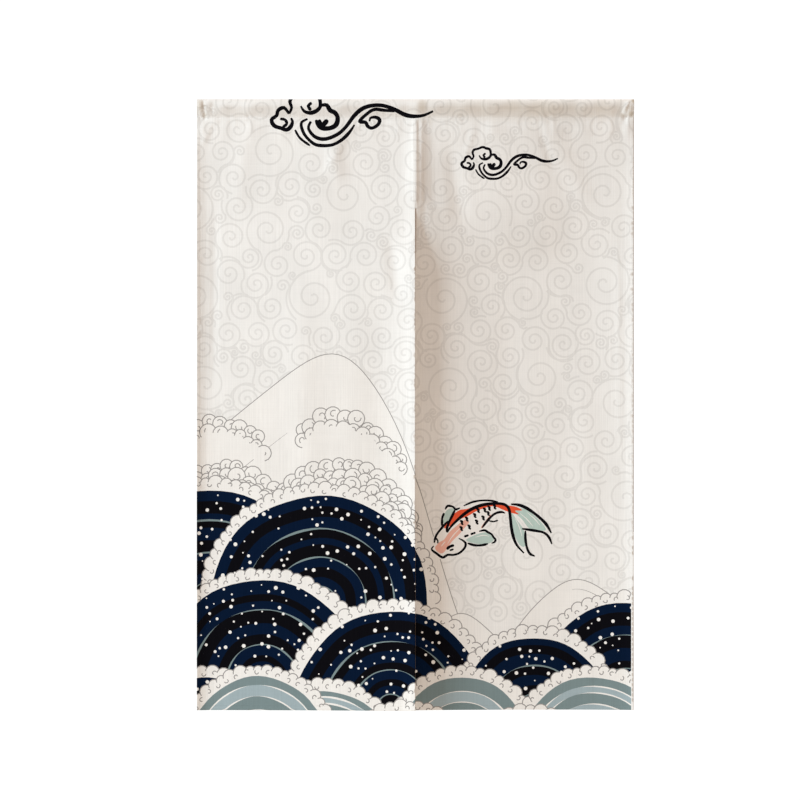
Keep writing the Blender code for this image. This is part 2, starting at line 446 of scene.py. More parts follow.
def drop_at(fall):
    """Height below the top edge of a place on the face, and how far the bare pocket stands out."""
    length = np.abs(fall)
    turn = np.minimum(length / BULGE, ARC_TURN)
    out = np.where(length < ARC_FALL, BULGE * np.sin(turn),
                   np.interp(length, (ARC_FALL, NECK_FALL), (ARC_END[0], CLOTH)))
    drop = np.where(length < ARC_FALL, BULGE * (1 - np.cos(turn)),
                    np.interp(length, (ARC_FALL, NECK_FALL, FULL_FALL), (ARC_END[1], NECK, DROP)))
    return drop, out


FALLS = np.linspace(0, FULL_FALL, 4000)
DROPS = drop_at(FALLS)[0]


def fall_at(drop):
    """Length of cloth from the crown to a drop drawn in the print; above 0 it is on the back."""
    return np.sign(drop) * np.interp(np.abs(drop), DROPS, FALLS)


def on_cloth(side, across, fall, raised=0.0):
    """Places on the cloth's printed face, in metres, optionally raised off it."""
    across, fall = np.asarray(across, float), np.asarray(fall, float)
    table = RIGHT_FOLD if side > 0 else LEFT_FOLD
    drop, out = drop_at(fall)
    hanging = fall >= POCKET_FALL
    rise = ease((drop - POCKET) / 25)
    hung = CLOTH + fold_height(table, across, drop) + rise * tuck_height(across, drop)
    belly = np.sin(pi * np.clip(drop / NECK, 0, 1))**2
    slack = np.minimum(tuck_height(across, np.full_like(across, POCKET)), POCKET_SLACK)
    face = out + belly * slack
    forward = np.where(hanging, hung, np.where(fall >= 0, face, -out))
    fine = pucker_height(across, drop) + crease_height(FINE_CREASES, across, drop)
    fine += swell_height(side, across, drop)
    # The crown stays smooth, and the pocket's back takes a quarter of the fine relief
    crown = ease(drop / 9)
    forward += np.where(fall >= 0, fine * crown, 0.25 * fine * crown)
    forward += np.where(fall >= NECK_FALL, hem_relief(side, across, drop), 0)
    forward += np.where(fall >= 0, 1, -1) * seam_relief(fall)
    forward += np.where(fall >= 0, raised, -raised)
    # The right panel's edge lies a little behind the left panel's, once there is depth for it
    behind = 1.6 * ease((drop - SEWN - 30) / 120) * ease(1 - across / 12) if side > 0 else 0.0
    # Where they are sewn together, the edges of the panels meet
    meeting = side * (JOIN_GAP / 2 - TOUCH) * np.clip(1 + JOIN_GAP / 2 - np.abs(across), 0, 1)
    meeting = meeting * (1 - apart_at(drop))
    return np.stack((across - behind - meeting, -forward, -drop), axis=-1) * MM


def smooth_path(points, step, closed=False):
    """Points about a step apart along a smooth curve through the given points."""
    points = np.asarray(points, float)
    count = len(points)
    path = []
    for index in range(count if closed else count - 1):
        if closed:
            p = [points[(index + k) % count] for k in (-1, 0, 1, 2)]
        else:
            p = [points[min(max(index + k, 0), count - 1)] for k in (-1, 0, 1, 2)]
        pieces = max(1, ceil(np.linalg.norm(p[2] - p[1]) / step))
        for t in np.arange(pieces) / pieces:
            path.append(0.5 * (2 * p[1] + (p[2] - p[0]) * t
                               + (2 * p[0] - 5 * p[1] + 4 * p[2] - p[3]) * t**2
                               + (3 * p[1] - p[0] - 3 * p[2] + p[3]) * t**3))
    if not closed:
        path.append(points[-1])
    return np.array(path)


# A line wider than the fine ones gets a disc where it turns by more than this cosine allows
SHARP_BEND = 0.9
FINE_LINE = 2.5


class Print:
    """A print as outlines on the flat cloth, in across and fall. Later ones cover earlier ones."""

    def __init__(self):
        self.outlines, self.dyes = [], []

    def area(self, dye, outline):
        """Fill one simple outline of places in across and drop."""
        outline = np.asarray(outline, float).copy()
        outline[:, 1] = fall_at(outline[:, 1])
        self.outlines.append(outline)
        self.dyes.append(dye)

    def stroke(self, dye, path, width):
        """Draw a line of even or varying width as four-sided areas, with discs at sharp bends."""
        path = np.asarray(path, float)
        width = np.broadcast_to(width, len(path))
        along = np.gradient(path, axis=0)
        along /= np.maximum(np.linalg.norm(along, axis=1, keepdims=True), 1e-9)
        aside = np.stack((-along[:, 1], along[:, 0]), axis=1) * width[:, None] / 2
        one, other = path + aside, path - aside
        for i in range(len(path) - 1):
            self.area(dye, (other[i], other[i + 1], one[i + 1], one[i]))
            if i and along[i - 1] @ along[i] < SHARP_BEND and width[i] > FINE_LINE:
                self.disc(dye, *path[i], 0.47 * width[i], 8)

    def brush(self, dye, points, widths, step):
        """Draw a brush stroke whose width changes along it."""
        path = smooth_path(points, step)
        share = np.linspace(0, 1, len(path))
        self.stroke(dye, path, np.interp(share, np.linspace(0, 1, len(widths)), widths))

    def disc(self, dye, across, drop, radius, sides):
        """Fill a round dot or dome."""
        turn = np.arange(sides) * 2 * pi / sides
        self.area(dye, round_about(across, drop, radius, turn))


# Radii of the ground spirals in four sizes, and how far the largest keep apart
Size = namedtuple("Size", "least most apart")
SPIRAL_SIZES = rows_of(
    Size,
    (42, 49, 64),
    (24, 30, 0),
    (15, 22, 0),
    (7.5, 13, 0),
)
# Width of their line, how far a rim reaches past its circle, and between which drops they lie
SPIRAL_LINE = 3.9
RIMS_MEET = 1.2
SPIRALS_START = -45
SPIRALS_END = 1010.0
# The packing of their circles: reach past the cloth's sides, places tried, the weight of the
# third nearest neighbour, how far a circle may outgrow its size, the room of a place that has
# nothing near it yet, and a gap that rules a circle out
PAST_SIDES = 18
TRIED_PLACES = 30000
THIRD_NEIGHBOUR = 0.6
OUTGROW = 1.5
FAR_OFF = 300.0
NEVER_NEAR = 1e3
# Turns of a large and of a small spiral, and the radius that parts them
LARGE_TURNS = 2.1
SMALL_TURNS = 1.7
LARGE_FROM = 14
# Circles nearer than this are neighbours. A tail goes round one in steps of a length, drifts off
# it over a turn, and ends at a third circle or after a longest turn
NEIGHBOURS = 2.5
TAIL_STEP = 5.0
TAIL_DRIFT = 5.5
DRIFT_TURN = 1.6
TAIL_MEETS = 0.6
LONGEST_TURN = 3.0


def pack_circles():
    """Seeded circles, each nestled among its neighbours, over the whole width of the cloth."""
    rng = np.random.default_rng(5)
    edge = HALF_WIDTH + PAST_SIDES
    places = np.stack((rng.uniform(-edge, edge, TRIED_PLACES),
                       rng.uniform(SPIRALS_START, SPIRALS_END, TRIED_PLACES)), axis=1)
    room = np.full((3, len(places)), FAR_OFF)
    circles = []
    for size in SPIRAL_SIZES:
        free = room[0] - size.apart
        while free.max() >= size.least:
            wanted = rng.uniform(size.least, min(size.most, free.max()))
            fits = np.flatnonzero(free >= wanted)
            loose = room[0, fits] + room[1, fits] + THIRD_NEIGHBOUR * room[2, fits]
            chosen = fits[np.argmin(loose)] if size.apart == 0 else rng.choice(fits)
            radius = min(free[chosen], wanted + OUTGROW)
            circles.append((*places[chosen], radius))
            gap = np.hypot(*(places - places[chosen]).T) - radius
            room = np.sort(np.vstack((room, gap)), axis=0)[:3]
            free = np.minimum(free, gap - size.apart)
    return np.array(circles)


def spiral_path(x, y, radius, end_turn, hand):
    """A spiral from its middle out to its rim, whose turns widen as they go."""
    sweep = 2 * pi * (LARGE_TURNS if radius > LARGE_FROM else SMALL_TURNS)
    # Steps of about one length, but never a wide turn near the eye
    angles = [0.0]
    while angles[-1] < sweep:
        reach = max(radius * angles[-1] / sweep, 1.8)
        angles.append(angles[-1] + min((4.6 + 0.05 * radius) / reach, 0.62))
    angles = np.minimum(angles, sweep)
    reach = radius * (0.05 + 0.95 * (angles / sweep)**1.08)
    turn = end_turn - hand * (sweep - angles)
    return round_about(x, y, reach, turn)


def rim_tail(circles, mine, other, hand):
    """Arc that goes on round the next circle, drifting off it until it meets a third."""
    start = np.arctan2(*(circles[mine] - circles[other])[1::-1])
    tail = []
    for step in np.arange(1, 40) * TAIL_STEP / circles[other, 2]:
        reach = circles[other, 2] + TAIL_DRIFT * min(step / DRIFT_TURN, 1)
        turn = start - hand * step
        place = circles[other, :2] + reach * np.array((cos(turn), sin(turn)))
        gaps = np.hypot(*(circles[:, :2] - place).T) - circles[:, 2]
        gaps[[mine, other]] = NEVER_NEAR
        tail.append(place)
        if gaps.min() < TAIL_MEETS or step > LONGEST_TURN:
            break
    return np.array(tail)


def draw_spirals(design):
    """Cover the ground with fine grey spirals that run on round one another."""
    circles = pack_circles()
    rng = np.random.default_rng(8)
    for mine, (x, y, radius) in enumerate(circles):
        gaps = np.hypot(circles[:, 0] - x, circles[:, 1] - y) - circles[:, 2] - radius
        gaps[mine] = NEVER_NEAR
        hand = rng.choice((-1, 1))
        others = np.flatnonzero(gaps < NEIGHBOURS)
        if len(others):
            other = rng.choice(others)
            end_turn = np.arctan2(circles[other, 1] - y, circles[other, 0] - x)
            path = spiral_path(x, y, radius + RIMS_MEET, end_turn, hand)
            path = np.vstack((path, rim_tail(circles, mine, other, hand)))
        else:
            path = spiral_path(x, y, radius + RIMS_MEET, rng.uniform(0, 2 * pi), hand)
        design.stroke("scroll_grey", path, SPIRAL_LINE)


# A cloud scroll in its own units, 97 wide and 33 high. Each brush stroke has a weight first
CLOUD_STROKES = (
    (1.9, ((11, 13.5), (8, 10), (4.5, 11.5), (3.5, 14.5), (0.5, 17), (2, 20.5), (6, 22), (9.5, 23),
           (12, 21), (13, 18), (12, 16))),
    (1.5, ((5.5, 16.5), (8.5, 17), (9.5, 19.5), (7, 21.5))),
    (1.8, ((11, 13.5), (12.5, 10), (11.5, 6.5), (13, 3.5), (17, 2.5), (21.5, 0.8), (25, 2), (28.5, 3),
           (29.5, 6), (29.5, 9.5), (27, 12), (23.5, 13), (20, 12), (18, 9))),
    (1.6, ((24.5, 7), (22.5, 9), (24, 11.5))),
    (2.3, ((30.5, 8.5), (33.5, 8.5), (35.5, 11.5), (38.5, 13), (40, 16), (39, 20), (35.5, 22),
           (31, 22), (28, 19.5), (27, 17))),
    (2.4, ((28.5, 17), (30.5, 20.5), (34, 17))),
    (1.9, ((24, 18), (22.5, 22), (25.5, 26.5), (30, 28.5), (35, 28), (41, 25), (45.5, 20.5),
           (49.5, 15), (54, 11), (59, 9), (65, 8.5), (70, 9.5), (75, 11.5), (80, 14), (85, 15),
           (91, 14.5), (97, 12))),
    (1.6, ((22, 16.5), (18.5, 18.5), (18.5, 22), (21, 27), (26, 31.5), (31, 32.5), (37, 32),
           (42.5, 29), (47, 24.5), (50, 20))),
    (1.2, ((14.5, 23), (17.5, 28), (23.5, 32.5))),
    (1.7, ((74, 12), (68, 11.5), (62, 11), (57.5, 13.5), (53, 18), (56.5, 18.5), (58, 21), (60.5, 22),
           (64, 20), (65, 17), (62.5, 15.5), (59.5, 16), (59, 18))),
)
CLOUD_PRESSURE = (0.7, 1.1, 1.0, 1.2, 1.05, 1.25, 0.55)
# Where the scrolls' bare ground lies: across, drop and radius, in the same units
CLOUD_BODY = ((7, 17, 6), (22, 8, 8), (33, 16, 7), (27, 20, 8))


def draw_cloud(design, across, drop, unit, press):
    """The brushed cloud scroll on bare ground: its unit is a length, and press widens the brush."""
    for x, y, radius in CLOUD_BODY:
        design.disc("ground", across + x * unit, drop + y * unit, radius * unit, 20)
    for halo in (True, False):
        for weight, stroke in CLOUD_STROKES:
            points = [(across + x * unit, drop + y * unit) for x, y in stroke]
            if halo:
                design.stroke("ground", smooth_path(points, 6.0), weight * unit + 5.0)
            else:
                width = press * weight * unit * np.array(CLOUD_PRESSURE)
                design.brush("ink", points, width, step=1.3 * unit)


# The fish in its own units, 121 wide and 58 high: washes of colour, then brush strokes
FISH_SHAPES = (
    ("paper", ((1, 49), (4, 38), (12, 27), (24, 16), (38, 8), (54, 3), (68, 3), (78, 8), (78, 13),
               (66, 16), (58, 21), (51, 30), (40, 36), (35, 44), (32, 51), (22, 56), (10, 58))),
    ("fin_green", ((12, 23), (14, 13), (19, 9), (23, 10), (20, 18), (15, 24))),
    ("fin_green", ((35, 41), (41, 37), (49, 34), (57, 33), (62, 37), (62, 42), (54, 45), (43, 44))),
    ("fin_green", ((83, 12), (92, 9), (102, 15), (111, 24), (115, 31), (106, 31), (98, 29), (91, 20))),
    ("fin_green", ((80, 13), (86, 21), (92, 29), (94, 36), (94, 47), (89, 46), (84, 37), (81, 25))),
    ("vermilion", ((13, 29), (17, 22), (23, 14.5), (29, 10.5), (36, 9.5), (45, 6.5), (56, 4.5),
                   (68, 4.5), (76, 6), (85, 7.5), (91, 11), (84, 11.5), (88, 15), (80, 13.5),
                   (72, 10.5), (63, 7), (54, 8.5), (45, 12), (37, 16.5), (29, 20), (22, 25))),
    ("salmon", ((4, 48), (8, 43), (13, 40), (18, 33), (26, 26), (34, 20.5), (38, 23), (33, 29),
                (28, 35), (21, 42), (16, 49), (11, 54), (6, 52))),
    ("salmon", ((50, 28), (54, 22), (60, 15), (58, 21), (52, 28.5))),
)
# The first washes, which have a bare rim: the body and the fins
FISH_RIMS = 5
# Bare streaks that a dry brush leaves in the washes
FISH_STREAKS = (
    ((16, 45), (22, 36), (31, 27)),
    ((10, 47), (14, 42)),
    ((89, 14), (96, 20), (102, 27)),
    ((96, 13), (104, 20), (109, 26)),
    ((84, 19), (88, 27), (91, 37)),
    ((44, 38), (52, 36), (58, 37)),
)
FISH_STROKES = (
    (2.5, ((16, 33), (20, 27), (27, 20), (34, 14), (41, 9.5), (50, 6), (59, 4.5), (67, 4.2), (74, 5.5),
           (78, 10), (79.5, 20), (80.5, 29), (82.5, 38), (86, 46), (93, 54))),
    (1.6, ((32.5, 6.5), (41, 2.8), (50, 1.2), (59, 1.3), (67, 2.5))),
    (2.5, ((80, 5), (87, 5.5), (94, 8), (102, 13), (110.5, 20), (116, 26), (120.5, 34))),
    (2.1, ((91, 29.5), (98, 30.5), (106, 31.8), (113, 33.5), (118, 38), (121, 45))),
    (2.1, ((94.5, 31.5), (94.5, 39.5), (96, 48.5), (99, 54.5), (104, 57))),
    (1.9, ((17, 21.5), (11, 28), (5, 36), (3, 43.5))),
    (1.9, ((2.5, 46.5), (0.5, 50), (6, 54.5), (11.5, 58), (16.5, 55.5), (22.5, 55.5), (28.5, 53.5),
           (33.5, 48.5), (34.5, 44), (31.5, 41), (27.5, 39))),
    (1.9, ((11, 27), (11, 19), (13, 13.5))),
    (1.8, ((14, 10), (16.5, 6.5), (22, 7.5), (24.5, 10), (29, 8.5))),
    (2.1, ((24, 10), (22, 14.5), (18.5, 21.5), (16, 28), (15.5, 33))),
    (1.9, ((33, 37.3), (37.5, 35.8))),
    (1.7, ((39.5, 35), (44.5, 33.2))),
    (1.8, ((48, 32), (53.5, 31), (57, 33), (60.5, 35), (62.5, 38), (64.5, 40.5), (63.5, 42.8),
           (60.5, 44))),
    (2.0, ((36.5, 43.8), (43, 45.8), (50, 46), (57, 44.5))),
    (2.0, ((51, 28.5), (55.5, 22.5), (61, 16.5), (66, 13.5), (71, 12.8), (74, 14))),
    (1.3, ((58, 21.5), (62.5, 22.3), (67, 21))),
    (2.3, ((15.5, 50), (18.5, 47.3), (23, 45.8))),
    (1.6, ((18.5, 51), (22.5, 49.8))),
    (1.3, ((4, 38), (6.5, 41), (6.5, 44))),
)
FISH_PRESSURE = (0.5, 1.05, 1.15, 0.95, 1.0, 1.1, 0.45)
SCALE_MARKS = ((30, 23), (35, 19.5), (29.5, 29), (37.5, 27.5), (43, 16), (46.5, 11), (45, 22.5),
               (51.5, 18.5), (53, 10.5), (57.5, 8.8), (56.5, 14), (63, 7.5))


def draw_fish(design, across, drop, unit):
    """A carp in bright wash with brushed outlines."""
    def place(points):
        return np.array([(across + x * unit, drop + y * unit) for x, y in points])

    for _, outline in FISH_SHAPES[:FISH_RIMS]:
        rim = smooth_path(place(outline), 6.0, closed=True)
        design.stroke("ground", np.vstack((rim, rim[:1])), 7.0)
    for dye, outline in FISH_SHAPES:
        design.area(dye, smooth_path(place(outline), 3.5, closed=True))
    for streak in FISH_STREAKS:
        design.brush("paper", place(streak), np.array((0.2, 0.9, 0.3)) * unit, step=3.0)
    for x, y in SCALE_MARKS:
        mark = ((x - 1.2, y - 1.8), (x + 0.9, y - 0.6), (x + 0.7, y + 1.2), (x + 2.3, y + 2.4))
        design.brush("ink", place(mark), np.array((1.4, 2.7, 2.4, 1.3)) * unit, step=1.5)
    for weight, stroke in FISH_STROKES:
        design.brush("ink", place(stroke), 1.2 * weight * unit * np.array(FISH_PRESSURE), step=2.6)


# The lower picture: plain far hills, banded domes in mist, and near hills along the foot
Hill = namedtuple("Hill", "across top left right")
FAR_HILLS = rows_of(
    Hill,
    (-165, 506, 560, 222),
    (90, 1012, 150, 160),
    (318, 946, 200, 250),
)
Dome = namedtuple("Dome", "across centre radius bands")
DARK = ("navy", "night")
NEAR = ("slate", "haze")
BACK_DOMES = rows_of(
    Dome,
    (-405, 985, 230, DARK),
    (-188, 990, 224, DARK),
    (415, 1180, 200, DARK),
)
MIDDLE_DOMES = rows_of(
    Dome,
    (-300, 1142, 208, DARK),
    (-48, 1195, 200, DARK),
    (235, 1205, 158, DARK),
)
NEAR_DOMES = rows_of(
    Dome,
    (-420, 1268, 142, DARK),
    (92, 1272, 146, NEAR),
    (352, 1290, 164, NEAR),
    (-178, 1290, 140, NEAR),
    (-308, 1270, 146, NEAR),
    (-20, 1320, 128, DARK),
    (225, 1325, 122, DARK),
)
# Banks of mist: a line across, the drop there, and how high the bank stands on it
MIST_BEHIND = ((-429, 728), (-345, 724), (-268, 770), (-205, 730), (-120, 722), (-45, 768), (8, 850))
# Low banks that drift before the high hill
DRIFTS = (
    ((-429, 648), (-388, 634), (-340, 648), (-296, 676)),
    ((-222, 650), (-170, 622), (-112, 634), (-66, 668), (-24, 716)),
)
THREAD_OF_MIST = 1.9
# Least and most radius of a scallop in a bank and round a dome, and how far rows of them lie apart
BANK_PUFFS = (11, 18)
RIM_PUFFS = (9, 15)
BANK_ROW = 18.0
# How far a curl turns, how many places draw it, and how far the curls of a dome lie apart
HOOK_TURN = 3.9
HOOK_PLACES = 7
HOOKS_APART = 21
# Most specks, how far they keep apart, and their least and most radius
SPECKS = 270
SPECKS_APART = 11.0
SPECK_SIZES = (1.3, 3.9)
# Least and most width of a dome's bands, and the radius at which they end
BAND_WIDTHS = (12, 28)
DOME_EYE = 24.0
# How many times its breadth on a side a far hill reaches there
HILL_REACH = 1.9


def draw_far_hill(design, hill, rng):
    """A plain gentle hill with a thin outline and short contour lines."""
    off = np.linspace(-HILL_REACH * hill.left, HILL_REACH * hill.right, 121)
    share = off / (hill.left + (hill.right - hill.left) * ease(0.5 + off / (hill.left + hill.right)))
    shape = np.exp(-1.2 * share**2) * (1 + 0.008 * np.cos(11 * share))
    foot = DROP + 40
    crest = np.stack((hill.across + off, foot - (foot - hill.top) * shape), axis=1)
    design.area("paper", np.vstack((crest, crest[[-1, 0]] * (1, 0) + (0, foot + 20))))
    design.stroke("line_grey", crest, 1.5)
    for level in range(1, 7):
        first = rng.integers(25, 80)
        line = crest[first:first + rng.integers(9, 22)] + (0, 19 * level)
        design.brush("line_grey", line, (0.5, 1.4, 0.5), step=12.0)


def draw_puff(design, across, drop, radius):
    """A scallop of mist: a bare disc with a thin outline."""
    design.disc("line_grey", across, drop, radius + THREAD_OF_MIST / 2, 14)
    design.disc("paper", across, drop, radius - THREAD_OF_MIST / 2, 14)


def draw_hook(design, across, drop, radius, rng):
    """A small open curl of thin line."""
    turn = rng.uniform(0, 2 * pi) + rng.choice((-1, 1)) * np.linspace(0, HOOK_TURN, HOOK_PLACES)
    reach = radius * np.linspace(1, 0.35, HOOK_PLACES)
    design.stroke("line_grey", round_about(across, drop, reach, turn), THREAD_OF_MIST)


def draw_mist(design, line, rows, rng):
    """A bank of overlapping scallops along a line, the upper ones behind."""
    path = smooth_path(line, 6.0)
    along = np.concatenate(((0,), np.cumsum(np.linalg.norm(np.diff(path, axis=0), axis=1))))
    for row in range(rows):
        at = 0.0
        while at < along[-1]:
            radius = rng.uniform(*BANK_PUFFS)
            x, y = np.interp(at, along, path[:, 0]), np.interp(at, along, path[:, 1])
            y += BANK_ROW * row + rng.uniform(-5, 5)
            draw_puff(design, x, y, radius)
            draw_hook(design, x + 1, y - 1, 0.55 * radius, rng)
            at += 1.5 * radius


def draw_drift(design, line, rng):
    """A low bank of scallops, bare below, so that it fades into the hill."""
    draw_mist(design, line, 2, rng)
    path = smooth_path(line, 6.0)
    share = np.linspace(0, 1, len(path))[:, None]
    skirt = path + (0, 46)
    design.area("paper", np.vstack((path + (0, 17) + (0, 6) * np.sin(9 * pi * share), skirt[::-1])))


def draw_dome(design, dome, rng):
    """A hill of uneven bands under a scalloped rim of mist with curls in it."""
    turn = pi * 1.02
    while turn < pi * 1.98:
        size = rng.uniform(*RIM_PUFFS)
        turn += 0.8 * size / dome.radius
        reach = dome.radius + 2
        draw_puff(design, dome.across + reach * cos(turn), dome.centre + reach * sin(turn), size)
        turn += 0.8 * size / dome.radius
    rim = dome.radius - 2
    design.disc("paper", dome.across, dome.centre, rim + 5, 96)
    for turn in np.arange(pi * 1.03, pi * 1.97, HOOKS_APART / rim):
        reach = rim + rng.uniform(-2, 3)
        draw_hook(design, dome.across + reach * cos(turn), dome.centre + reach * sin(turn), 5.5, rng)
    radius, index = rim - 9, 0
    sway = rng.uniform(0, 2 * pi, 2)
    while radius > DOME_EYE:
        turns = np.linspace(0, 2 * pi, 60 if radius > 60 else 36, endpoint=False)
        uneven = 1 + 0.012 * np.sin(3 * turns + sway[0]) + 0.008 * np.sin(7 * turns + sway[1])
        reach = radius * uneven
        design.area(dome.bands[index % 2], round_about(dome.across, dome.centre, reach, turns))
        width = rng.uniform(*BAND_WIDTHS)
        edge = radius - width + 2.2
        if edge > DOME_EYE and (dome.bands is NEAR or index % 3 == 2):
            line = "paper" if dome.bands is NEAR else "slate"
            design.disc(line, dome.across, dome.centre, edge, 60)
        radius, index = radius - width, index + 1


def draw_specks(design, rng):
    """White dots of many sizes over the dark hills, none of them touching."""
    places = np.stack((rng.uniform(-HALF_WIDTH, HALF_WIDTH, SPECKS * 8),
                       fall_at(rng.uniform(740, DROP, SPECKS * 8))), axis=1)
    under = topmost(places, design.outlines)
    dark = [number >= 0 and design.dyes[number] in DARK for number in under]
    kept = []
    for place in places[np.array(dark)]:
        apart = min((hypot(*(place - other)) for other in kept), default=SPECKS_APART)
        if apart >= SPECKS_APART and len(kept) < SPECKS:
            kept.append(place)
            drop = place[1] - FULL_FALL + DROP
            design.disc("paper", place[0], drop, rng.uniform(*SPECK_SIZES), 10)


def draw_picture(design):
    """Generic banded hills in mist that fill the cloth's foot."""
    rng = np.random.default_rng(21)
    for hill in FAR_HILLS:
        draw_far_hill(design, hill, rng)
    for line in DRIFTS:
        draw_drift(design, line, rng)
    draw_mist(design, MIST_BEHIND, 3, rng)
    for group in (BACK_DOMES, MIDDLE_DOMES, NEAR_DOMES):
        for dome in group:
            draw_dome(design, dome, rng)
    draw_specks(design, rng)


# Where each drawn motif begins across and down, the length of its unit, and the brush's press
BIG_CLOUD = (-284.0, -15.5, 1.674 * PIXEL, 1.13)
SMALL_CLOUD = (89.7, 92.5, PIXEL, 1.3)
FISH_PLACE = (31.0, 786.0, PIXEL)


def curtain_print():
    """The whole print, from the ground up."""
    design = Print()
    draw_spirals(design)
    draw_cloud(design, *BIG_CLOUD)
    draw_cloud(design, *SMALL_CLOUD)
    draw_picture(design)
    draw_fish(design, *FISH_PLACE)
    return design


def lines_between(ends, steps):
    """Places from the first end through the others, each stretch in about equal steps."""
    places = [ends[0]]
    for end, step in zip(ends[1:], steps):
        count = max(1, round((end - places[-1]) / step))
        places += list(np.linspace(places[-1], end, count + 1)[1:])
    return np.array(places)


def cut_off(outline, axis, border, keep):
    """The part of an outline that lies on the kept side of a straight border."""
    depth = keep * (outline[:, axis] - border)
    if not len(outline) or depth.min() >= 0:
        return outline
    kept = []
    for index, (here, reach) in enumerate(zip(outline, depth)):
        there, beyond = outline[index - 1], depth[index - 1]
        if (reach >= 0) != (beyond >= 0):
            crossing = here + (there - here) * reach / (reach - beyond)
            crossing[axis] = border
            kept.append(crossing)
        if reach >= 0:
            kept.append(here)
    return np.reshape(kept, (-1, 2))


def topmost(places, outlines):
    """Number of the last outline that holds each place, or -1 where there is none."""
    order = np.argsort(places[:, 1])
    x, y = places[order].T
    top = np.full(len(x), -1)
    for number, outline in enumerate(outlines):
        low, high = np.searchsorted(y, (outline[:, 1].min(), outline[:, 1].max()))
        level = (x[low:high] > outline[:, 0].min()) & (x[low:high] < outline[:, 0].max())
        near = low + np.flatnonzero(level)
        if len(near):
            ends = np.roll(outline, 1, axis=0)
            down = ends[:, 1] - outline[:, 1]
            slope = (ends[:, 0] - outline[:, 0]) / np.where(down == 0, 1, down)
            beside = y[near, None] - outline[:, 1]
            crossed = (outline[:, 1] > y[near, None]) != (ends[:, 1] > y[near, None])
            crossed &= x[near, None] < outline[:, 0] + beside * slope
            top[near[crossed.sum(axis=1) % 2 == 1]] = number
    found = np.empty_like(top)
    found[order] = top
    return found


# Grid points nearer than this to a line of the print are left out, in millimetres. Fewer go
# where the cloth bends sharply, which is at its edges, its crown and its seam
GRID_CLEARANCE = 1.6
BEND_CLEARANCE = 0.4
# That nearness is measured to places this far apart along the lines
SEAM_STEP = 0.6
# Longest piece of a line where the cloth bends sharply
BENT_LINE = 1.6
# Places nearer than this are merged in the first and in the last triangulation
MERGED_FIRST = 0.02
MERGED_LAST = 0.08
# Upright and level lines of the grid, counted in from an edge: its rim, its hem, and past its hem
RIM_LINE = 2.2
HEM_LINE = 9.2
PAST_HEM_LINE = 14
# Below this drop the print stops short of the right-hand side, by this much
UNPRINTED_DROP = 850.0
UNPRINTED_WIDTH = 5
# Width of the strip of painted shade along the right-hand side and in the slit, where it shows below a
# drop
SIDE_EDGE_SHADE = 0.8
SLIT_EDGE_SHADE = 1.5
SLIT_SHOWS = 215.0


def triangulate(places, edges, merged):
    """Join places into triangles that keep the given edges. Places this near are merged."""
    found, _, triangles, *_ = delaunay_2d_cdt([Vector(p) for p in places], edges, [], 0, merged)
    return np.array([tuple(p) for p in found]), np.array(triangles)


def seams_of_colour(triangles, top):
    """Edges whose two sides are dyed differently."""
    edges = np.sort(np.concatenate([triangles[:, pair] for pair in ((0, 1), (1, 2), (2, 0))]), axis=1)
    order = np.lexsort((edges[:, 1], edges[:, 0]))
    edges, dyed = edges[order], np.tile(top, 3)[order]
    twins = np.flatnonzero((edges[1:] == edges[:-1]).all(axis=1))
    return edges[twins[dyed[twins] != dyed[twins + 1]]]


def sharply_bent(places):
    """Whether the cloth bends sharply at each place: by its edges, its crown and its seam."""
    fall = np.abs(places[:, 1])
    edge = np.minimum(from_side(places[:, 0]), FULL_FALL - places[:, 1])
    return (edge < 10.5) | (fall < 14) | (np.abs(fall - SEAM_FALL) < 3)


def cut_short(places, lines):
    """Lines of the print cut into short ones where the cloth bends, so that they follow it."""
    start, run = places[lines[:, 0]], places[lines[:, 1]] - places[lines[:, 0]]
    parts = np.where(sharply_bent(start + run / 2), np.ceil(np.hypot(*run.T) / BENT_LINE), 1)
    added, short, count = [places], [], len(places)
    for (head, foot), origin, step, number in zip(lines, start, run, parts.astype(int)):
        between = range(count, count + number - 1)
        added.append(origin + np.arange(1, number)[:, None] / number * step)
        chain = (head, *between, foot)
        short += zip(chain, chain[1:])
        count += len(between)
    return np.vstack(added), np.array(short)


def panel_lines(side):
    """Upright and level lines of a panel's grid, closest where the cloth bends sharply."""
    near, far = JOIN_GAP / 2, HALF_WIDTH
    across = side * lines_between((near, RIM_LINE, HEM_LINE, PAST_HEM_LINE, far - PAST_HEM_LINE,
                                   far - HEM_LINE, far - RIM_LINE, far),
                                  (0.7, 1.0, 1.6, 7.0, 1.6, 1.0, 0.7))
    fall = lines_between((-POCKET_FALL, -NECK_FALL, -ARC_FALL, 0, ARC_FALL, NECK_FALL, POCKET_FALL,
                          POCKET_FALL + 60, POCKET_FALL + 160, FULL_FALL - 15,
                          FULL_FALL - HEM_LINE, FULL_FALL - RIM_LINE, FULL_FALL),
                         (0.8, 4.0, 2.6, 2.6, 3.4, 0.8, 3.4, 5.5, 10.0, 2.4, 1.2, 0.7))
    return across, fall


